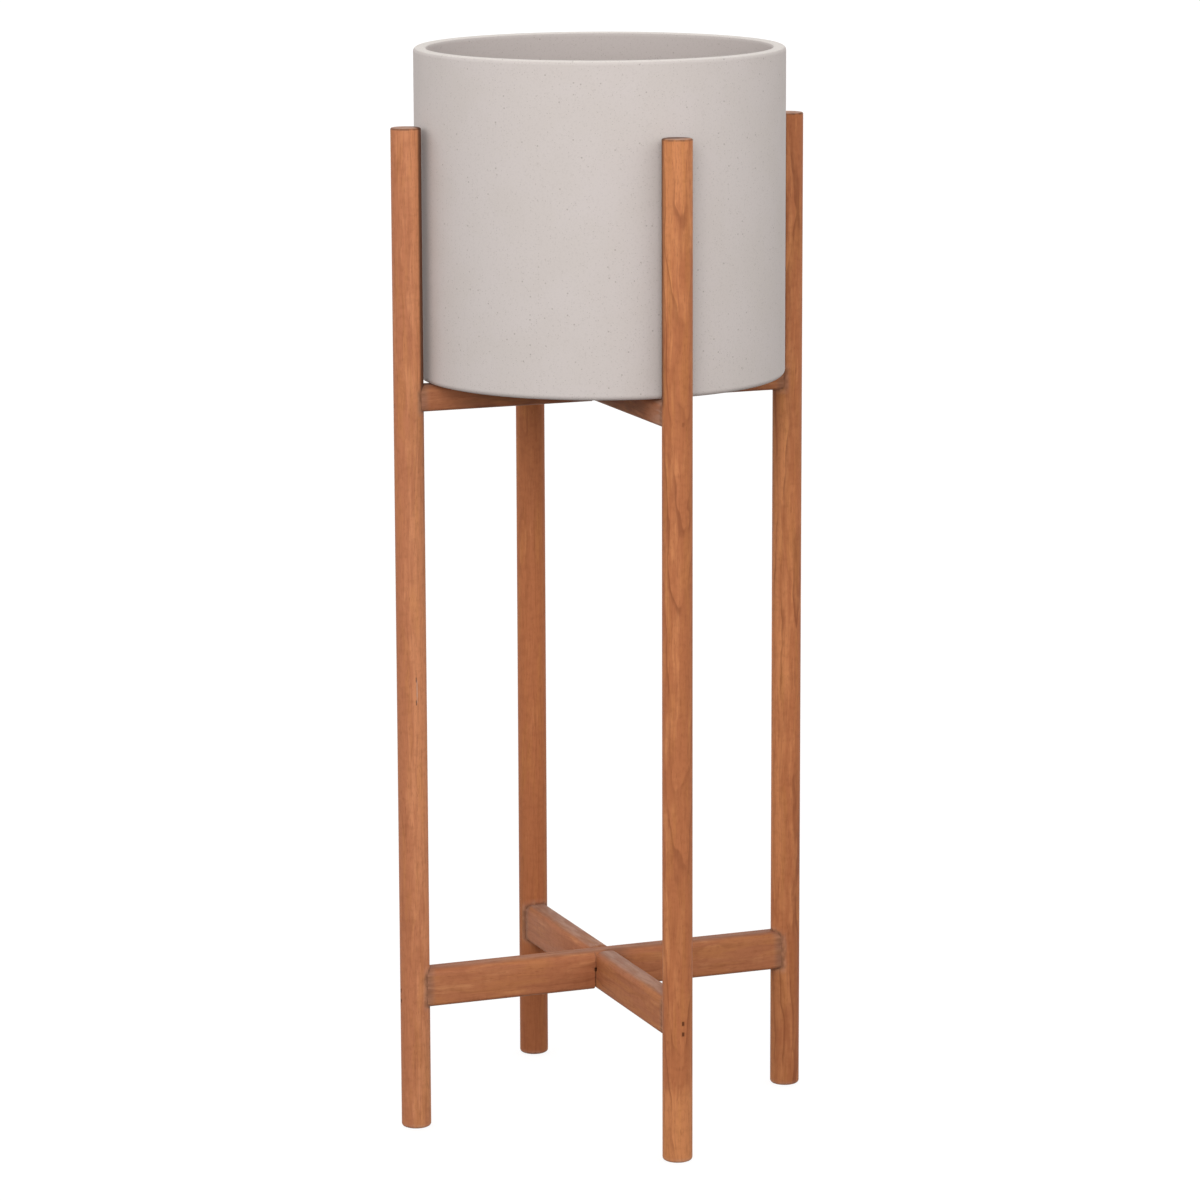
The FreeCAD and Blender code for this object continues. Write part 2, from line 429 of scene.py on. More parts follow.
@dataclass(frozen=True)
class StainedWood:
    """Teak-like hardwood, planed and sanded, stained orange-brown and rubbed with a satin oil.

    It gives the eye soft brown patches that waver along the grain, thin ring lines, short dark pores,
    and a greyish bloom on worn edges and at the joints, under a low, broad sheen. The bloom colour is
    also laid on top faces as painted sheen and on some ends as painted light, and the soot colour also
    serves as painted shade. A leg can get painted shade where it faces the pot, painted light on one
    side and towards its top, and painted shade towards its foot.
    """

    name: str
    light: str = "CD8657"
    middle: str = "B67048"
    dark: str = "7C442A"
    golden: str = "C98A4A"
    # Greyish bloom of wear, also used for painted sheen and painted light
    bloom: str = "B99B8B"
    # Soot of the joints and cracks, also used for painted shade
    soot: str = "5A4539"
    # Painted shade where a leg faces the pot
    damp: str = "35221A"
    filler: str = "4E2614"
    pith: tuple[float, float] = (70 * MM, 30 * MM)  # From the middle of the tree to the piece
    lean: tuple[float, float] = (0.5, -0.4)  # Of the piece in the tree, in degrees
    ring_spacing: float = 4.6 * MM
    ring_share: float = 0.3
    tone: float = 0.5  # How much of the wood is light
    painted_light_side: tuple[float, float] = (0.0, 0.0)  # Painted light on one side: its bearing in degrees, and by how much
    # How much paler towards the top end the wood is painted, as painted light
    painted_light_top: float = 0.0
    painted_light_top_levels: tuple[float, float] = (620 * MM, 850 * MM)  # Where it starts and is full
    pale_foot: float = 0.0
    pale_foot_levels: tuple[float, float] = (80 * MM, 20 * MM)
    # How much darker towards the foot the wood is painted, as painted shade
    painted_shade_foot: float = 0.0
    painted_shade_foot_levels: tuple[float, float] = (380 * MM, 40 * MM)
    cloud_length: float = 8 * MM  # Of the clouds in the marks
    seed: float = 0.0
    roughness: float = 0.48
    ior: float = 1.42
    sheen: float = 0.15

    def build(self, origin: Iterable[float], turn: float, grain_axis: Grain, marks: Marks) -> Material:
        """Make the finish for one piece.

        Args:
            origin: The piece's own origin in the row frame.
            turn: How far the piece is turned about Z, in radians.
            grain_axis: The piece's own axis that the grain runs along.
            marks: Adds nodes for where the piece has bloom with painted sheen and light, soot with painted
                shade, painted shade beside the pot, and filler, from 0 to 1.

        Returns:
            The material.
        """
        material, tree = start_material(self.name)
        place = add_node(tree, "Mapping", {
            "Vector": add_node(tree, "TexCoord", {}).outputs["Object"],
            "Location": tuple(origin),
            "Rotation": (0.0, 0.0, turn),
        }, vector_type="TEXTURE")
        straight = add_node(tree, "Mapping", {
            "Vector": place, "Rotation": grain_axis.value, "Location": (0.0, 0.0, self.seed),
        })
        grain = disturb(tree, straight, (24 * MM, 24 * MM, 75 * MM), (1.6 * MM, 1.6 * MM, 0.0))
        # Pores are drawn about 0.7 mm wide, twice their real width, so that they show
        pores = mask(tree, (self._noise(tree, grain, 0.7 * MM, 7 * MM, 1.0, offset=7.0), 0.6, 0.74))
        colour = self._stained(tree, grain, pores, place)

        cloud = self._noise(tree, grain, 5 * MM, self.cloud_length, 3.0, offset=3.0)
        patchy = {
            "bloom": mask(tree, (cloud, 0.34, 0.64), least=0.3),
            "soot": mask(tree, (cloud, 0.66, 0.42), least=0.35),
        }
        for kind, where in marks(tree, place).items():
            colour = paint(tree, colour, getattr(self, kind), where, patchy.get(kind, 1.0))

        fibre = self._noise(tree, grain, 0.7 * MM, 16 * MM, 3.0, offset=1.0)
        rough = add_node(tree, "Math", {0: fibre, 1: 0.16, 2: self.roughness}, operation="MULTIPLY_ADD")
        height = add_node(tree, "Math", {0: pores, 1: -0.8, 2: fibre}, operation="MULTIPLY_ADD")
        finish_material(tree, {
            "Base Color": colour,
            "Roughness": rough,
            "IOR": self.ior,
            "Specular IOR Level": self.sheen,
            "Normal": add_node(tree, "Bump", {"Height": height, "Strength": 0.5, "Distance": 0.1 * MM}),
        })
        return material

    def _noise(
        self, tree: Tree, grain: Value, across: float, along: float, detail: float, offset: float = 0.0
    ) -> Value:
        """Draw noise stretched along the grain.

        Args:
            tree: The node tree.
            grain: Coordinates with Z along the grain.
            across: Size of a feature across the grain.
            along: Size of a feature along it.
            detail: Octaves of detail.
            offset: Moves the pattern, so that two of them differ.

        Returns:
            Noise from 0 to 1.
        """
        scaled = add_node(tree, "Mapping", {
            "Vector": grain,
            "Scale": (1 / across, 1 / across, 1 / along),
            "Location": (offset, 7.3 * self.seed + offset, offset),
        })
        return add_node(tree, "TexNoise", {
            "Vector": scaled, "Scale": 1.0, "Detail": detail, "Roughness": 0.55,
        })

    def _rings(self, tree: Tree, grain: Value) -> Value:
        """Draw the thin dark edges of growth rings, which show in places and fade in others.

        The rings cross the surface at a small angle, so they draw long lines and tongues on it.

        Args:
            tree: The node tree.
            grain: Coordinates with Z along the grain.

        Returns:
            1 in the darkest wood of a ring and 0 in the palest.
        """
        leaning = add_node(tree, "Mapping", {
            "Vector": grain,
            "Location": (*self.pith, 0.0),
            "Rotation": (*(math.radians(angle) for angle in self.lean), 0.0),
        })
        distance = axis_distance(tree, leaning)
        rings = add_node(tree, "Math", {0: distance, 1: self.ring_spacing}, operation="DIVIDE")
        wander = self._noise(tree, grain, 30 * MM, 120 * MM, 3.0, offset=2.0)
        moved = add_node(tree, "Math", {0: wander, 1: 2.6, 2: rings}, operation="MULTIPLY_ADD")
        age = add_node(tree, "Math", {0: moved}, operation="FRACT")
        shown = self._noise(tree, grain, 14 * MM, 80 * MM, 2.0, offset=15.0)
        line = mask(tree, (age, 0.72, 0.93), (age, 1.0, 0.95), (shown, 0.42, 0.6))
        shadow = mask(tree, (age, 0.2, 0.9), (age, 1.0, 0.93), share=0.4)
        return add_node(tree, "Math", {0: shadow, 1: line}, operation="ADD")

    def _stained(self, tree: Tree, grain: Value, pores: Value, place: Value) -> Value:
        """Colour the stained wood: soft patches, short streaks, rings, fibres, ripples and pores.

        Args:
            tree: The node tree.
            grain: Coordinates with Z along the grain.
            pores: Where the pores are, from 0 to 1.
            place: The piece's own coordinates, Z up.

        Returns:
            The colour.
        """
        streak = self._noise(tree, grain, 3.5 * MM, 50 * MM, 3.0, offset=5.0)
        patch = self._noise(tree, grain, 10 * MM, 42 * MM, 3.0, offset=9.0)
        tone = add_node(tree, "Mix", {0: 0.6, 2: streak, 3: patch})
        bearing, light_side_share = math.radians(self.painted_light_side[0]), self.painted_light_side[1]
        aside = add_node(tree, "VectorMath", {
            0: place, 1: (math.cos(bearing), math.sin(bearing), 0.0),
        }, operation="DOT_PRODUCT").outputs["Value"]
        up = add_node(tree, "SeparateXYZ", {0: place}).outputs["Z"]
        # Painted light on one side and towards the top end, and a paler foot
        paler = (
            mask(tree, (aside, -11 * MM, 11 * MM), share=2 * light_side_share),
            mask(tree, (up, *self.painted_light_top_levels), share=self.painted_light_top),
            mask(tree, (up, *self.pale_foot_levels), share=self.pale_foot),
        )
        for more in paler:
            tone = add_node(tree, "Math", {0: tone, 1: more}, operation="ADD")
        # The more of the wood is light, the lower in the noise the light colour starts
        start = 0.58 - 0.24 * self.tone + light_side_share
        colour = paint(tree, linear(self.middle), self.light, mask(tree, (tone, start, start + 0.22)))
        warm = self._noise(tree, grain, 8 * MM, 65 * MM, 2.0, offset=13.0)
        colour = paint(tree, colour, self.golden, mask(tree, (warm, 0.48, 0.68)), 0.2)
        fibre = self._noise(tree, grain, 1.3 * MM, 28 * MM, 4.0)
        ripple = self._noise(tree, grain, 6 * MM, 5 * MM, 3.0, offset=11.0)
        darkening = (
            # Painted shade towards the foot, then the grain's dark lines, fibres, ripples and pores
            (mask(tree, (up, *self.painted_shade_foot_levels)), self.painted_shade_foot),
            (self._rings(tree, grain), self.ring_share),
            (mask(tree, (fibre, 0.46, 0.72)), 0.2),
            (mask(tree, (ripple, 0.42, 0.72)), 0.16),
            (pores, 0.3),
        )
        for where, share in darkening:
            colour = paint(tree, colour, self.dark, where, share)
        return colour


@dataclass(frozen=True)
class CastClay:
    """Fibre clay, cast in a mould and rubbed smooth, unglazed.

    It gives the eye a warm light grey with soft cloudy tones, fine dark grit, a few pinholes
    and no shine, a rim top painted paler as a painted highlight, and an inside painted darker as painted
    shade.
    """

    name: str = "cast_fibre_clay"
    ground: str = "CEC5C1"
    cloud: str = "CCC3BE"
    # Painted highlight on the rim top
    lit_rim: str = "E2DBD5"
    grit: str = "7F736A"
    # Painted shade: the inside is painted darker than the outside
    inside: str = "BDB4B0"
    cloud_size: float = 38 * MM
    tooth_size: float = 1.6 * MM
    grit_size: float = 1.6 * MM
    pinhole_size: float = 5.0 * MM
    roughness: float = 0.82
    ior: float = 1.45

    def build(self, outer_radius: float, wall: float, rim_level: float) -> Material:
        """Make the finish.

        Args:
            outer_radius: Radius of the pot's outer side.
            wall: Thickness of its wall.
            rim_level: Height of its rim.

        Returns:
            The material.
        """
        material, tree = start_material(self.name)
        place = add_node(tree, "TexCoord", {}).outputs["Object"]
        cloudy, tooth = [
            add_node(tree, "TexNoise", {
                "Vector": place, "Scale": 1 / size, "Detail": detail, "Roughness": rough,
            })
            for size, detail, rough in ((self.cloud_size, 4.0, 0.5), (self.tooth_size, 3.0, 0.6))
        ]
        radius = axis_distance(tree, place)
        up = add_node(tree, "SeparateXYZ", {0: place}).outputs["Z"]
        # The grit is really about 0.3 mm, and is drawn three times as coarse so that it shows
        grit = self._specks(tree, place, self.grit_size, reach=0.32, share=0.2)
        pinholes = self._specks(tree, place, self.pinhole_size, reach=0.18, share=0.18)
        layers = (
            (self.cloud, mask(tree, (cloudy, 0.35, 0.68)), 1.0),
            # Painted shade on the inside
            (self.inside, mask(tree, (radius, outer_radius - 0.3 * wall, outer_radius - 0.8 * wall)), 1.0),
            # Painted highlight on the rim top
            (self.lit_rim, mask(tree, (up, rim_level - 1.4 * MM, rim_level - 0.3 * MM)), 1.0),
            (self.grit, mask(tree, (tooth, 0.5, 0.7)), 0.1),
            (self.grit, grit, 0.34),
            (self.grit, pinholes, 0.44),
        )
        colour = linear(self.ground)
        for over, where, share in layers:
            colour = paint(tree, colour, over, where, share)
        height = add_node(tree, "Math", {0: pinholes, 1: -2.5, 2: tooth}, operation="MULTIPLY_ADD")
        finish_material(tree, {
            "Base Color": colour,
            "Roughness": self.roughness,
            "IOR": self.ior,
            "Normal": add_node(tree, "Bump", {"Height": height, "Strength": 0.35, "Distance": 0.12 * MM}),
        })
        return material

    def _specks(self, tree: Tree, place: Value, size: float, reach: float, share: float) -> Value:
        """Draw small round specks, one in some of the cells round random points.

        Args:
            tree: The node tree.
            place: Coordinates in metres.
            size: Mean distance between the cells' middles.
            reach: A speck's radius as a share of that distance.
            share: Share of the cells that have a speck.

        Returns:
            1 in a speck and 0 outside it.
        """
        cells = add_node(tree, "TexVoronoi", {"Vector": place, "Scale": 1 / size})
        chance = add_node(tree, "SeparateColor", {0: cells.outputs["Color"]})
        present = add_node(tree, "Math", {0: chance, 1: share}, operation="LESS_THAN")
        near = mask(tree, (cells, reach, reach / 2))
        return add_node(tree, "Math", {0: near, 1: present}, operation="MULTIPLY")


@dataclass(frozen=True)
class MottledStuff:
    """A plain stuff with a second colour in soft spots, where it is also rougher."""

    name: str
    colour: str
    spots: str
    spot_size: float
    detail: float
    thin: float
    full: float
    roughness: float
    rougher: float
    metallic: float = 0.0
    relief: float = 0.0

    def build(self) -> Material:
        """Make the finish.

        Returns:
            The material.
        """
        material, tree = start_material(self.name)
        place = add_node(tree, "TexCoord", {}).outputs["Object"]
        noise = add_node(tree, "TexNoise", {
            "Vector": place, "Scale": 1 / self.spot_size, "Detail": self.detail,
        })
        amount = mask(tree, (noise, self.thin, self.full))
        bump = add_node(tree, "Bump", {"Height": noise, "Strength": self.relief, "Distance": 0.1 * MM})
        finish_material(tree, {
            "Base Color": paint(tree, linear(self.colour), self.spots, amount),
            "Roughness": mask(
                tree, (noise, self.thin, self.full),
                least=self.roughness, share=self.roughness + self.rougher,
            ),
            "Metallic": self.metallic,
            "Normal": bump,
        })
        return material


# Moulded black rubber, matt with a dusty grain: a soft charcoal grey, paler where it is rubbed
PLUG_RUBBER = MottledStuff(
    "moulded_rubber", colour="2E2C2B", spots="4A4744", spot_size=6 * MM, detail=5.0,
    thin=0.4, full=0.75, roughness=0.62, rougher=0.15, relief=0.3,
)

# Drawn steel wire, darkened by the stain that was wiped over it: a dark brown-grey dot in its pit
BRAD_STEEL = MottledStuff(
    "stained_steel_wire", colour="5C544E", spots="2B211C", spot_size=1.2 * MM, detail=3.0,
    thin=0.35, full=0.6, roughness=0.45, rougher=0.25, metallic=0.7,
)


# The stand


@dataclass(frozen=True)
class BarSizes:
    """Sizes and level of one pair of crossed bars, and how tightly they are halved together."""

    level: float
    height: float
    width: float = 20 * MM
    top_round: float = 6.5 * MM
    under_round: float = 3.5 * MM
    shoulder_gap: float = 0.12 * MM
    slot_gap: float = 0.8 * MM
    pot_shadow: float = 0.0  # Share of painted shade where the pot shades the bars

    @property
    def middle(self) -> float:
        """Height of the bars' middle above the floor."""
        return self.level + self.height / 2

    def outline_distance(self, tree: Tree, place: Value) -> Value:
        """Measure how far coordinates are from the outline of a bar, seen along the bar.

        Args:
            tree: The node tree.
            place: Coordinates with Y across the bar and Z up from the floor.

        Returns:
            The distance, inside the outline and outside it.
        """
        up = add_node(tree, "SeparateXYZ", {0: place}).outputs["Z"]
        corner = mask(
            tree, (up, self.middle - MM, self.middle + MM), least=self.under_round, share=self.top_round
        )
        _, aside, away = offsets(tree, place, (0.0, 0.0, self.middle))
        beyond = []
        for value, half in ((aside, self.width / 2), (away, self.height / 2)):
            grown = add_node(tree, "Math", {0: value, 1: corner}, operation="ADD")
            beyond.append(add_node(tree, "Math", {0: grown, 1: half}, operation="SUBTRACT"))
        outside = add_node(tree, "VectorMath", {
            0: add_node(tree, "CombineXYZ", {0: beyond[0], 1: beyond[1]}), 1: (0.0, 0.0, 0.0),
        }, operation="MAXIMUM")
        length = add_node(tree, "VectorMath", {0: outside}, operation="LENGTH").outputs["Value"]
        inside = add_node(tree, "Math", {0: strongest(tree, beyond), 1: 0.0}, operation="MINIMUM")
        signed = add_node(tree, "Math", {0: length, 1: inside}, operation="ADD")
        signed = add_node(tree, "Math", {0: signed, 1: corner}, operation="SUBTRACT")
        return add_node(tree, "Math", {0: signed}, operation="ABSOLUTE")


@dataclass(frozen=True)
class Nick:
    """A small dry crack along the grain on a leg's near side: dark, with a pale scratch beside it."""

    across: float
    height: float
    length: float
    scratch_shift: float = 0.7 * MM

    def marks(self, tree: Tree, place: Value) -> tuple[Value, Value]:
        """Find the crack, which is closed in its middle, and the scratch beside it.

        Args:
            tree: The node tree.
            place: The leg's own coordinates.

        Returns:
            The crack and the scratch, from 0 to 1.
        """
        y = add_node(tree, "SeparateXYZ", {0: place}).outputs["Y"]
        masks = []
        # Where each opens and ends, as shares of the length from the middle; below 0 it is whole
        for shift, opening, end in ((0.0, 0.3, 0.5), (self.scratch_shift, -0.2, 0.4)):
            aside, _, along = offsets(tree, place, (self.across + shift, 0.0, self.height))
            masks.append(mask(
                tree, (aside, 0.55 * MM, 0.2 * MM), (y, MM, -MM),
                (along, end * self.length + 1.5 * MM, end * self.length),
                (along, opening * self.length, (opening + 0.1) * self.length),
            ))
        return masks[0], masks[1]


class Side(Enum):
    """Where a leg stands, as quarter turns from the left about the middle of the stand."""

    LEFT = 0
    FRONT = 1
    RIGHT = 2
    BACK = 3


@dataclass(frozen=True)
class Leg:
    """One round leg: a dowel with a rounded foot, an eased top and punched brad pits."""

    side: Side
    wood: StainedWood
    bars: tuple[BarSizes, ...]
    foot_round: float = 2.6 * MM
    top_round: float = 1.3 * MM
    pot_shade_band: tuple[float, float, float] = (5 * MM, 8 * MM, 0.6)  # Where the painted shade from the pot starts, is full, and its share
    pot_level: float = 635 * MM
    pit_width: float = 1.6 * MM
    pit_height: float = 3.0 * MM
    pit_depth: float = 0.5 * MM
    nicks: tuple[Nick, ...] = ()
    sides: int = 96

    @property
    def node(self) -> str:
        """Name of the leg's CAD node."""
        return f"{self.side.name.lower()}_leg"

    @property
    def turn(self) -> float:
        """How far the leg's own X axis, towards the middle of the stand, is turned from +X."""
        return self.side.value * math.pi / 2

    @property
    def column(self) -> Column:
        """The column that the leg fills."""
        return Column.of_node(self.node)

    def build(self) -> None:
        """Model the leg and dress it."""
        column = self.column
        leg = column.model(self.node.replace("leg", "round_leg"), self.sides)
        bpy.ops.object.mode_set(mode="EDIT")
        column.round_edge(leg, column.radius, column.bottom, self.foot_round, 6)
        column.round_edge(leg, column.radius, column.top, self.top_round, 3)
        bpy.ops.object.mode_set(mode="OBJECT")
        for level in self._pit_levels():
            if level < column.centre.z:
                cut_away(leg, self._pit(level))
        material = self.wood.build((*column.centre.xy, 0.0), self.turn, Grain.Z, self._marks)
        finish_piece(leg, "stand", material, self.node)

    def _pit_levels(self) -> list[float]:
        """Find how high the brads in this leg are, from their CAD node.

        Returns:
            The heights of their middles.
        """
        vertices = [vertex.co for vertex in bpy.data.objects[f"{self.node}_brads"].data.vertices]
        outward = Vector((-math.cos(self.turn), -math.sin(self.turn), 0))
        reach = max(place.dot(outward) for place in vertices)
        edges = sorted({round(place.z / MM, 2) for place in vertices if reach - place.dot(outward) < NEAR})
        return [(low + high) / 2 * MM for low, high in zip(edges[::2], edges[1::2])]

    def _pit(self, level: float) -> Piece:
        """Make a small block where a brad was punched below the surface.

        Args:
            level: Height of the brad.

        Returns:
            The block, in place in the row frame.
        """
        column, depth = self.column, self.pit_depth
        half, rise = self.pit_width / 2, self.pit_height / 2
        block = add_block(
            "pit", (-column.radius - depth, -half, level - rise), (depth - column.radius, half, level + rise)
        )
        foot = Matrix.Translation((*column.centre.xy, 0))
        block.data.transform(foot @ Matrix.Rotation(self.turn, 4, "Z"))
        return block

    def _marks(self, tree: Tree, place: Value) -> dict[str, Value]:
        """Find where the leg has bloom and painted sheen, soot, painted shade and filler.

        Bloom lies on its two ends and round each joint, and on its flat top it is painted sheen too; soot
        lies along each joint's seam and round the edge of its top, painted shade on the side that faces the
        pot where the pot shades it, and filler in the brad pits.

        Args:
            tree: The node tree.
            place: The leg's own coordinates, X towards the middle of the stand.

        Returns:
            Each kind of mark, from 0 to 1.
        """
        top = self.column.top
        inward, _, up = add_node(tree, "SeparateXYZ", {0: place}).outputs
        bloom = [
            mask(tree, (up, 5 * MM, 0.0), share=0.4),
            # Painted sheen, with some bloom, on the flat top
            mask(tree, (up, top - 0.3 * MM, top - 0.05 * MM), share=0.85),
        ]
        soot = [add_node(tree, "Math", {
            0: mask(tree, (up, top - 1.8 * MM, top - 0.9 * MM), share=0.65),
            1: mask(tree, (up, top - 0.02 * MM, top - 0.15 * MM)),
        }, operation="MINIMUM")]
        ragged = disturb(tree, place, (5 * MM, 5 * MM, 7 * MM), (0.0, 0.7 * MM, 0.7 * MM))
        inner_side = (inward, 2 * MM, 5 * MM)
        for bar in self.bars:
            edge = bar.outline_distance(tree, ragged)
            soot.append(mask(tree, (edge, 3.0 * MM, 0.2 * MM), inner_side, share=0.6))
            bloom.append(mask(tree, (edge, 6.5 * MM, 1.0 * MM), inner_side, share=0.2))
        for nick in self.nicks:
            crack, scratch = nick.marks(tree, place)
            soot.append(crack)
            bloom.append(scratch)
        # Painted shade on the side that faces the pot, where the pot shades it
        start, full, share = self.pot_shade_band
        beside_pot = (up, self.pot_level - 8 * MM, self.pot_level + 2 * MM)
        return {
            "bloom": strongest(tree, bloom),
            "soot": strongest(tree, soot),
            "damp": mask(tree, (inward, start, full), beside_pot, share=share),
            "filler": self._filler(tree, place, inward),
        }

    def _filler(self, tree: Tree, place: Value, inward: Value) -> Value:
        """Find where brown filler covers the brads; over the upper ones it is well rubbed down.

        Args:
            tree: The node tree.
            place: The leg's own coordinates.
            inward: Their X, towards the middle of the stand.

        Returns:
            1 in the filler and 0 outside it.
        """
        spots = []
        for level in self._pit_levels():
            _, aside, away = offsets(tree, place, (0.0, 0.0, level))
            spots.append(mask(
                tree, (aside, self.pit_width, 0.4 * self.pit_width), (inward, MM, -MM),
                (away, 0.8 * self.pit_height, 0.4 * self.pit_height),
                share=0.8 if level < self.column.centre.z else 0.3,
            ))
        return strongest(tree, spots)


@dataclass(frozen=True)
class CrossBar:
    """One bar of a cross: rounded edges, ends hollowed to fit the legs, and the slot where it is halved."""

    node: str
    turn: float
    is_over: bool
    sizes: BarSizes
    leg_circle: float
    leg_radius: float
    wood: StainedWood
    end_dust_and_light: tuple[float, float] = (7 * MM, 0.2)  # How far the pale end at the legs reaches, and its share: dust, and on the upper under bar painted light too
    cope_gap: float = 0.15 * MM
    cope_sides: int = 96
    kerf: float = 1.5 * MM
    edge_ease: float = 0.3 * MM
    overcut_along: tuple[float, float] = (-0.8 * MM, 1.4 * MM)  # From the corner of the crossing
    overcut_aside: tuple[float, float] = (-4.0 * MM, 2.0 * MM)
    overcut_up: tuple[float, float] = (-0.5 * MM, 3.0 * MM)  # From the bar's middle

    def build(self) -> None:
        """Model the bar along X, cut it, turn it into place and dress it."""
        half, bottom, height = self.sizes.width / 2, self.sizes.level, self.sizes.height
        top = bottom + height
        name = self.node.replace("cross_bar", "rail")
        bar = add_block(name, (-self.leg_circle, -half, bottom), (self.leg_circle, half, top))
        bpy.ops.object.mode_set(mode="EDIT")
        for level, radius in ((top, self.sizes.top_round), (bottom, self.sizes.under_round)):
            pick(bar, Element.EDGE, lambda edge, level=level: self._runs_along(edge, level))
            bpy.ops.mesh.bevel(offset=radius, segments=8, affect="EDGES")
        bpy.ops.object.mode_set(mode="OBJECT")
        ends = (-1, 1)
        for end in ends:
            cut_away(bar, Column(
                Vector((end * self.leg_circle, 0, 0)), self.leg_radius + self.cope_gap,
                bottom - height, top + height,
            ).model("cope", self.cope_sides))
        for cutter in self._slot():
            cut_away(bar, cutter)
        apply_modifier(
            bar, "BEVEL", width=self.edge_ease, segments=2, limit_method="ANGLE",
            angle_limit=math.radians(50), use_clamp_overlap=True,
        )
        bar.data.transform(Matrix.Rotation(self.turn, 4, "Z"))
        for end in ends:
            for side in (-1, 1):
                cut_away(bar, self._overcut(end, side))
        material = self.wood.build((0.0, 0.0, bottom), self.turn, Grain.X, self._marks)
        finish_piece(bar, "stand", material, self.node)

    def _runs_along(self, edge: object, level: float) -> bool:
        """Whether a bmesh edge runs the length of the bar at a height.

        Args:
            edge: The edge.
            level: The height.

        Returns:
            True for such an edge.
        """
        start, end = (vertex.co for vertex in edge.verts)
        is_level = max(abs(start.z - level), abs(end.z - level)) < NEAR
        return is_level and abs(start.x - end.x) > self.leg_circle

    def _slot(self) -> list[Piece]:
        """Make the blocks that cut the slot for the bar that crosses this one.

        Returns:
            The blocks: the slot and, for the bar that lies over, the saw cuts in its corners.
        """
        half, reach, middle = self.sizes.width / 2, self.sizes.height, self.sizes.middle
        if not self.is_over:
            gap = half + self.sizes.shoulder_gap
            return [add_block("slot", (-gap, -reach, middle), (gap, reach, middle + reach))]
        gap = half + self.sizes.slot_gap
        blocks = [add_block("slot", (-gap, -reach, middle - reach), (gap, reach, middle))]
        for end in (-1, 1):
            low, high = sorted((end * gap, end * (gap - self.kerf)))
            blocks.append(add_block(
                "kerf", (low, -reach, middle - self.kerf), (high, reach, middle + self.kerf)
            ))
        return blocks

    def _overcut(self, end: int, side: int) -> Piece:
        """Make a block for a small hole in a corner of the crossing, where the saw ran past the line.

        Args:
            end: -1 for the corners at the left and 1 for those at the right.
            side: -1 for the near corners and 1 for the far ones.

        Returns:
            The block, in place in the row frame.
        """
        half = self.sizes.width / 2
        left, right = sorted(end * (half + shift) for shift in self.overcut_along)
        near, far = sorted(side * (half + shift) for shift in self.overcut_aside)
        bottom, top = (self.sizes.middle + shift for shift in self.overcut_up)
        return add_block("overcut", (left, near, bottom), (right, far, top))

    def _marks(self, tree: Tree, place: Value) -> dict[str, Value]:
        """Find where the bar has bloom and painted light, soot and painted shade, and filler.

        Bloom lies on its under edges and its ends, and is painted as sheen on its upper side; the upper
        bar that lies under has a longer pale end at each leg as painted light. Soot lies where it meets
        something and on its upper side, painted shade just past the crossing on the near side of the bar
        that lies over and where the pot shades the upper bars, and filler in the saw's overcuts.

        Args:
            tree: The node tree.
            place: The bar's own coordinates: X along it, Z up from its underside.

        Returns:
            Each kind of mark, from 0 to 1.
        """
        width, height, pot_shadow = self.sizes.width, self.sizes.height, self.sizes.pot_shadow
        x, y, up = add_node(tree, "SeparateXYZ", {0: place}).outputs
        folded = add_node(tree, "VectorMath", {0: place}, operation="ABSOLUTE")
        along = add_node(tree, "SeparateXYZ", {0: folded}).outputs["X"]
        crossing, _, _ = offsets(tree, folded, (width / 2, 0.0, 0.0))
        to_leg = axis_distance(tree, folded, self.leg_circle)
        end = self.leg_radius + self.cope_gap
        end_reach, end_share = self.end_dust_and_light
        bloom = [
            # Painted sheen, with some bloom, on the upper side
            mask(tree, (up, height - 2.2 * MM, height), share=0.15 if self.is_over else 0.5),
            mask(tree, (up, 1.6 * MM, 0.3 * MM), share=0.3),
            # Dust at the legs; on the upper bar that lies under, a long pale end is painted light
            mask(tree, (to_leg, end + end_reach, end + MM), share=end_share),
        ]
        near_half = (y, 0.0, -width / 4)
        right_of_crossing = ((x, 1.5 * width, 0.5 * width), (x, 0.0, NEAR))
        soot = [
            mask(tree, (to_leg, end + 6.5 * MM, end + 0.3 * MM), share=0.45),
            mask(tree, (crossing, 1.2 * MM, 0.2 * MM), share=0.35),
            mask(tree, (up, height - 2.2 * MM, height), share=0.3),
            # Painted shade on the near side of the bar that lies over, just past the crossing, where the
            # other bar shades it
            mask(tree, *right_of_crossing, near_half, share=0.5 if self.is_over else 0.0),
            # Painted shade where the pot shades the upper bars: along the top edge and towards the middle
            mask(tree, (up, height - 5 * MM, height - MM), share=pot_shadow),
            mask(tree, (along, 0.9 * self.leg_circle, 0.6 * self.leg_circle), share=0.7 * pot_shadow),
        ]
        corner = width / 2 - MM
        hole = add_node(tree, "VectorMath", {
            0: folded, 1: (corner, corner, height / 2 + 1.2 * MM),
        }, operation="DISTANCE").outputs["Value"]
        return {
            "bloom": strongest(tree, bloom),
            "soot": strongest(tree, soot),
            "filler": mask(tree, (hole, 2.8 * MM, 2.0 * MM), share=0.95),
        }


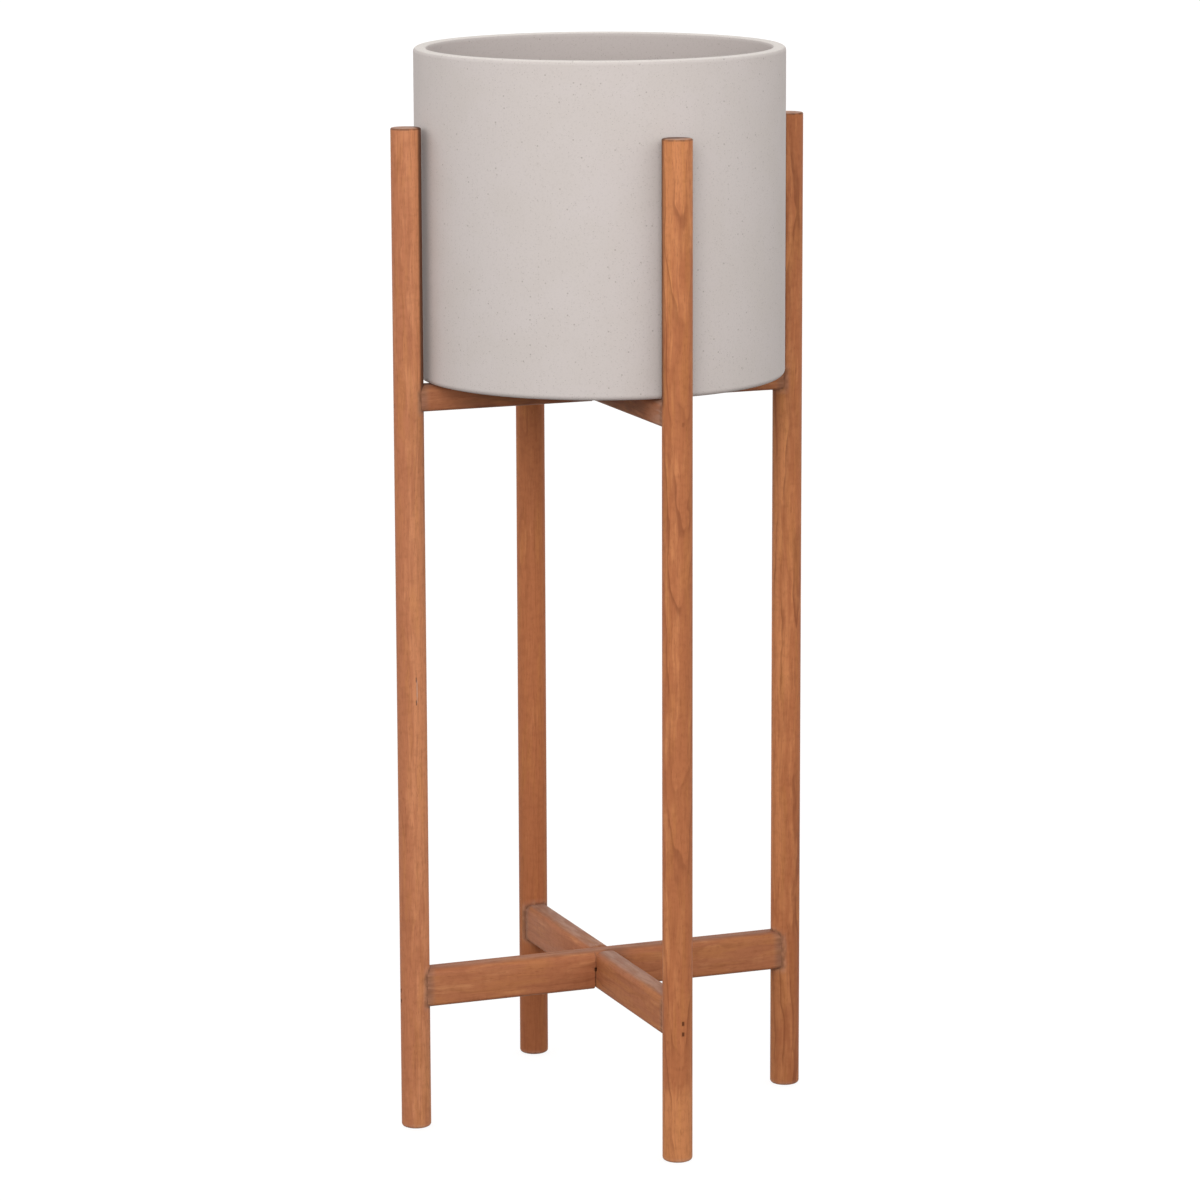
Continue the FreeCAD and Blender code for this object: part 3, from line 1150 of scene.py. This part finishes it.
@dataclass(frozen=True)
class Stand:
    """The wooden stand: four legs, a lower cross, an upper cross and the brads."""

    lower: BarSizes = BarSizes(level=105 * MM, height=33 * MM)
    upper: BarSizes = BarSizes(level=613 * MM, height=22 * MM, pot_shadow=0.6)

    def build(self) -> None:
        """Model and dress every piece of the stand."""
        legs = self._legs()
        for leg in legs:
            leg.build()
        self._crosses(legs[0].column)
        steel = BRAD_STEEL.build()
        for leg in legs:
            brads = bpy.data.objects[f"{leg.node}_brads"]
            brads.data.materials.clear()
            brads.data.materials.append(steel)
            log.info("%s: dressed", brads.name)

    def _legs(self) -> tuple[Leg, ...]:
        """Describe the four legs, each with its own piece of wood.

        Returns:
            The legs.
        """
        bars = (self.lower, self.upper)
        return (
            Leg(Side.LEFT, StainedWood(
                "stained_hardwood_left_leg", light="CF8A61", middle="BB7753", seed=0.37,
                pith=(62 * MM, 44 * MM), ring_share=0.15, tone=0.6, painted_light_side=(-21.0, 0.13), painted_light_top=0.1,
            ), bars, pot_shade_band=(5.5 * MM, 8.5 * MM, 0.78), nicks=(
                Nick(across=-0.3 * MM, height=379 * MM, length=22 * MM),
            )),
            Leg(Side.FRONT, StainedWood(
                "stained_hardwood_front_leg", seed=1.91, pith=(60 * MM, 23 * MM), lean=(0.4, -3.0),
                ring_spacing=6 * MM, ring_share=0.36, tone=0.36, painted_light_side=(69.0, 0.05),
                painted_light_top=0.22, pale_foot=0.5,
            ), bars, pot_shade_band=(-4.4 * MM, 2 * MM, 0.7)),
            Leg(Side.RIGHT, StainedWood(
                "stained_hardwood_right_leg", seed=3.13, pith=(52 * MM, -39 * MM), ring_spacing=8 * MM,
                ring_share=0.4, tone=0.8, painted_light_side=(-21.0, 0.1), painted_shade_foot=0.25,
            ), bars),
            Leg(Side.BACK, StainedWood(
                "stained_hardwood_back_leg", seed=4.71, pith=(74 * MM, -28 * MM), ring_share=0.15,
                tone=0.15, painted_shade_foot=0.35,
            ), bars),
        )

    def _crosses(self, leg: Column) -> None:
        """Model and dress the bars of both crosses.

        Args:
            leg: The column of one of the legs that they join.
        """
        for cross, (level, sizes) in enumerate((("lower", self.lower), ("upper", self.upper))):
            for quarter, place in enumerate(("over", "under")):
                # The upper bar that lies under gets a long pale end at each leg, as painted light
                has_painted_light_end = sizes.pot_shadow > 0 and place == "under"
                wood = StainedWood(
                    f"stained_hardwood_{level}_{place}_bar", light="C28359", middle="AD6D4A",
                    seed=6.0 + 2 * cross + quarter, pith=(18 * MM + 9 * MM * quarter, 25 * MM),
                    ring_share=0.2, tone=0.3, cloud_length=26 * MM,
                )
                CrossBar(
                    f"{level}_cross_bar_{place}", quarter * math.pi / 2, place == "over", sizes,
                    abs(leg.centre.x), leg.radius, wood, (34 * MM, 0.45) if has_painted_light_end else (7 * MM, 0.2),
                ).build()


# The pot and its plug


@dataclass(frozen=True)
class Pot:
    """The cast pot: a straight-sided shell with a soft rim and foot, and a drain hole."""

    clay: CastClay = CastClay()
    wall: float = 11.5 * MM
    floor: float = 14 * MM
    rim_round: float = 3.4 * MM
    foot_round: float = 4.5 * MM
    corner_round: float = 12 * MM
    drain_radius: float = 12 * MM
    drain_round: float = 1.2 * MM
    sides: int = 256

    def build(self) -> None:
        """Model the pot and dress it."""
        column = Column.of_node("pot")
        inner, floor_level = column.radius - self.wall, column.bottom + self.floor
        pot = column.model("cast_pot", self.sides)
        bpy.ops.object.mode_set(mode="EDIT")
        pick_level(pot, column.top)
        bpy.ops.mesh.inset(thickness=self.wall)
        bpy.ops.mesh.extrude_region_move(TRANSFORM_OT_translate={"value": (0, 0, floor_level - column.top)})
        bpy.ops.mesh.inset(thickness=inner - self.drain_radius)
        bpy.ops.mesh.delete(type="FACE")
        pick_level(pot, column.bottom)
        bpy.ops.mesh.inset(thickness=column.radius - self.drain_radius)
        bpy.ops.mesh.delete(type="FACE")
        pick(pot, Element.EDGE, lambda edge: edge.is_boundary)
        bpy.ops.mesh.bridge_edge_loops()
        rounds = (
            (column.radius, column.top, self.rim_round, 7),
            (inner, column.top, self.rim_round, 7),
            (column.radius, column.bottom, self.foot_round, 6),
            (inner, floor_level, self.corner_round, 8),
            (self.drain_radius, column.bottom, self.drain_round, 3),
        )
        for radius, level, size, segments in rounds:
            column.round_edge(pot, radius, level, size, segments)
        bpy.ops.mesh.select_all(action="SELECT")
        bpy.ops.mesh.normals_make_consistent(inside=False)
        bpy.ops.object.mode_set(mode="OBJECT")
        finish_piece(pot, "pot", self.clay.build(column.radius, self.wall, column.top), "pot")


@dataclass(frozen=True)
class DrainPlug:
    """The rubber bung in the pot's drain hole, with a flange and a button to pull it by."""

    rubber: MottledStuff = PLUG_RUBBER
    bung_radius: float = 11.95 * MM
    bung_taper: float = 1.0 * MM
    flange_thickness: float = 4 * MM
    flange_round: float = 1.4 * MM
    button_radius: float = 7 * MM
    button_height: float = 5 * MM
    button_round: float = 1.8 * MM
    sides: int = 96

    def build(self) -> None:
        """Model the plug and dress it."""
        whole = Column.of_node("drain_plug")
        flange_top = whole.top - self.button_height
        flange_low = flange_top - self.flange_thickness
        flange = Column(whole.centre, whole.radius, flange_low, flange_top)
        plug = flange.model("rubber_drain_plug", self.sides)
        bpy.ops.object.mode_set(mode="EDIT")
        steps = (
            (flange_top, self.button_radius, self.button_height),
            (flange_low, self.bung_radius, whole.bottom - flange_low),
        )
        for level, radius, rise in steps:
            pick_level(plug, level)
            bpy.ops.mesh.inset(thickness=whole.radius - radius)
            bpy.ops.mesh.extrude_region_move(TRANSFORM_OT_translate={"value": (0, 0, rise)})
        tip = 1 - self.bung_taper / self.bung_radius
        bpy.ops.transform.resize(value=(tip, tip, 1))
        rounds = (
            (whole.radius, flange_top, self.flange_round),
            (self.button_radius, whole.top, self.button_round),
            (self.button_radius, flange_top, self.button_round),
        )
        for radius, level, size in rounds:
            whole.round_edge(plug, radius, level, size, 5)
        bpy.ops.object.mode_set(mode="OBJECT")
        finish_piece(plug, "drain_plug", self.rubber.build(), "drain_plug")


# The studio


@dataclass(frozen=True)
class Studio:
    """Pale floor, soft light and the camera at the photograph's place."""

    floor_colour: str = "666463"
    floor_glow: float = 0.88
    floor_half: float = 30.0
    floor_depth: float = 20 * MM
    horizon_light: float = 0.7
    wall_light: float = 1.54
    ceiling_light: float = 0.28
    lamp_bearing: float = -24.0  # Degrees from the front, to the right
    lamp_rise: float = 20.0  # Degrees above the horizon
    lamp_distance: float = 3.4  # From the middle of the planter
    lamp_size: float = 2.0
    lamp_power: float = 45.0
    camera_place: tuple[float, float, float] = (-1.4510, -3.7370, 1.2303)
    camera_right: tuple[float, float, float] = (0.93206, -0.36228, -0.00335)
    camera_up: tuple[float, float, float] = (0.07303, 0.17882, 0.98117)
    camera_lens: float = 145.08
    camera_sensor: float = 36.0

    def build(self) -> None:
        """Make the camera, the floor and the light."""
        self._camera()
        self._floor()
        self._world()
        self._lamp()
        bpy.context.scene.view_settings.view_transform = "Standard"
        log.info("studio: ready")

    def _camera(self) -> None:
        """Put the camera where the photograph was taken from."""
        lens = bpy.data.cameras.new("camera")
        lens.lens = self.camera_lens
        lens.sensor_width = self.camera_sensor
        lens.clip_start = 0.05
        lens.clip_end = 200.0
        camera = bpy.data.objects.new("camera", lens)
        right, up = Vector(self.camera_right).normalized(), Vector(self.camera_up).normalized()
        turned = Matrix((right, up, right.cross(up))).transposed().to_4x4()
        camera.matrix_world = Matrix.Translation(self.camera_place) @ turned
        bpy.context.scene.collection.objects.link(camera)
        bpy.context.scene.camera = camera

    def _floor(self) -> None:
        """Lay a large pale floor that keeps the shadow and otherwise meets the white background."""
        half = self.floor_half
        floor = add_block("floor", (-half, -half, -self.floor_depth), (half, half, 0))
        material, tree = start_material("matt_white_floor")
        finish_material(tree, {
            "Base Color": linear(self.floor_colour),
            "Roughness": 0.9,
            "Emission Color": linear("FFFFFF"),
            "Emission Strength": mask(tree, (self._is_seen(tree), 0.0, 1.0), share=self.floor_glow),
        })
        floor.data.materials.append(material)
        floor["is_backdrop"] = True

    def _world(self) -> None:
        """Fill the room with plain white light, strongest from the walls, and seen as white."""
        world = bpy.data.worlds.new("studio_white")
        world.use_nodes = True
        bpy.context.scene.world = world
        tree = world.node_tree
        tree.nodes.clear()
        direction = add_node(tree, "TexCoord", {}).outputs["Generated"]
        height = add_node(tree, "SeparateXYZ", {0: direction}).outputs["Z"]
        rising = mask(tree, (height, 0.0, 0.35), least=self.horizon_light, share=self.wall_light)
        falling = mask(tree, (height, 0.4, 0.95), least=self.wall_light, share=self.ceiling_light)
        lit = add_node(tree, "Math", {0: rising, 1: falling}, operation="MINIMUM")
        strength = add_node(tree, "Mix", {0: self._is_seen(tree), 2: lit, 3: 1.0})
        light = add_node(tree, "Background", {"Color": linear("FFFFFF"), "Strength": strength})
        add_node(tree, "OutputWorld", {"Surface": light})

    def _is_seen(self, tree: Tree) -> Value:
        """Find the rays that see the white itself, and don't only take light from it.

        Args:
            tree: The node tree.

        Returns:
            1 for a camera, transmission or glossy ray and 0 for the others.
        """
        path = add_node(tree, "LightPath", {})
        kinds = ("Is Camera Ray", "Is Transmission Ray", "Is Glossy Ray")
        return strongest(tree, [path.outputs[kind] for kind in kinds])

    def _lamp(self) -> None:
        """Add the key light: a square soft lamp that faces the middle of the planter."""
        low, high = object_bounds()
        bearing, rise = math.radians(self.lamp_bearing), math.radians(self.lamp_rise)
        level = Vector((math.sin(bearing), -math.cos(bearing), 0.0))
        back = level * math.cos(rise) + Vector((0.0, 0.0, math.sin(rise)))
        light = bpy.data.lights.new("key", "AREA")
        light.shape = "SQUARE"
        light.size = self.lamp_size
        light.energy = self.lamp_power
        lamp = bpy.data.objects.new("key", light)
        place = Matrix.Translation((low + high) / 2 + back * self.lamp_distance)
        lamp.matrix_world = place @ back.to_track_quat("Z", "Y").to_matrix().to_4x4()
        bpy.context.scene.collection.objects.link(lamp)


def main() -> None:
    """Build the planter and its studio in order."""
    logging.basicConfig(level=logging.INFO, format="%(message)s")
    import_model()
    for assembly in (Studio(), Stand(), Pot(), DrainPlug()):
        assembly.build()
    select_nothing()


if __name__ == "__main__":
    main()
